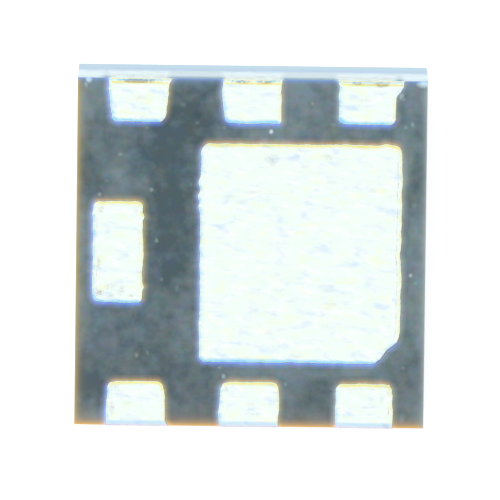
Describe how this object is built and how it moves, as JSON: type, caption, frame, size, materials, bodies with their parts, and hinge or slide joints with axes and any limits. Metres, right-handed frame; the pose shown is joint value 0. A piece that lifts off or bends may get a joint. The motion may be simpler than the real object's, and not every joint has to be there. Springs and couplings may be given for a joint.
{
  "type": "charging chip",
  "caption": "Square leadless moulded chip for a charging circuit, with edge leads and two exposed pads, lying on its marked face.",
  "frame": {"origin": "middle of the flat marked face that the chip lies on, with the soldering lands facing up as in the picture", "axes": "+Z out through the soldering lands, +Y towards the row of leads 4, 5 and 6 (top of the picture), +X towards the drain pad's side (right in the picture); lead 1 is at +X, -Y, by the chamfered corner of the drain pad. The chip is turned over, lands down, to be soldered."},
  "size_m": [0.002, 0.002, 0.0008],
  "materials": {
    "mold_compound": "dark slate epoxy with fine filler, sawn sides",
    "copper": "bare etched copper",
    "tin": "bright matte tin plate with faint ripples",
    "silver": "matte silver plate",
    "solder": "dull solder",
    "silicon": "polished silicon",
    "die_metal": "bright sputtered aluminium",
    "gold_wire": "bright drawn gold"
  },
  "bodies": {
    "root": {"mold_body": "mold_compound", "drain_paddle": "copper", "source_post": "copper", "gate_post": "copper", "tin_drain_pad": "tin", "tin_source_pad": "tin", "tin_lead_1": "tin", "tin_lead_2": "tin", "tin_lead_3": "tin", "tin_lead_4": "tin", "tin_lead_5": "tin", "tin_lead_6": "tin", "source_silver_spot": "silver", "gate_silver_spot": "silver", "die_attach": "solder", "silicon_die": "silicon", "source_metal": "die_metal", "gate_metal": "die_metal", "gate_wire": "gold_wire", "source_wire_1": "gold_wire", "source_wire_2": "gold_wire", "source_wire_3": "gold_wire", "source_wire_4": "gold_wire"}
  },
  "joints": []
}
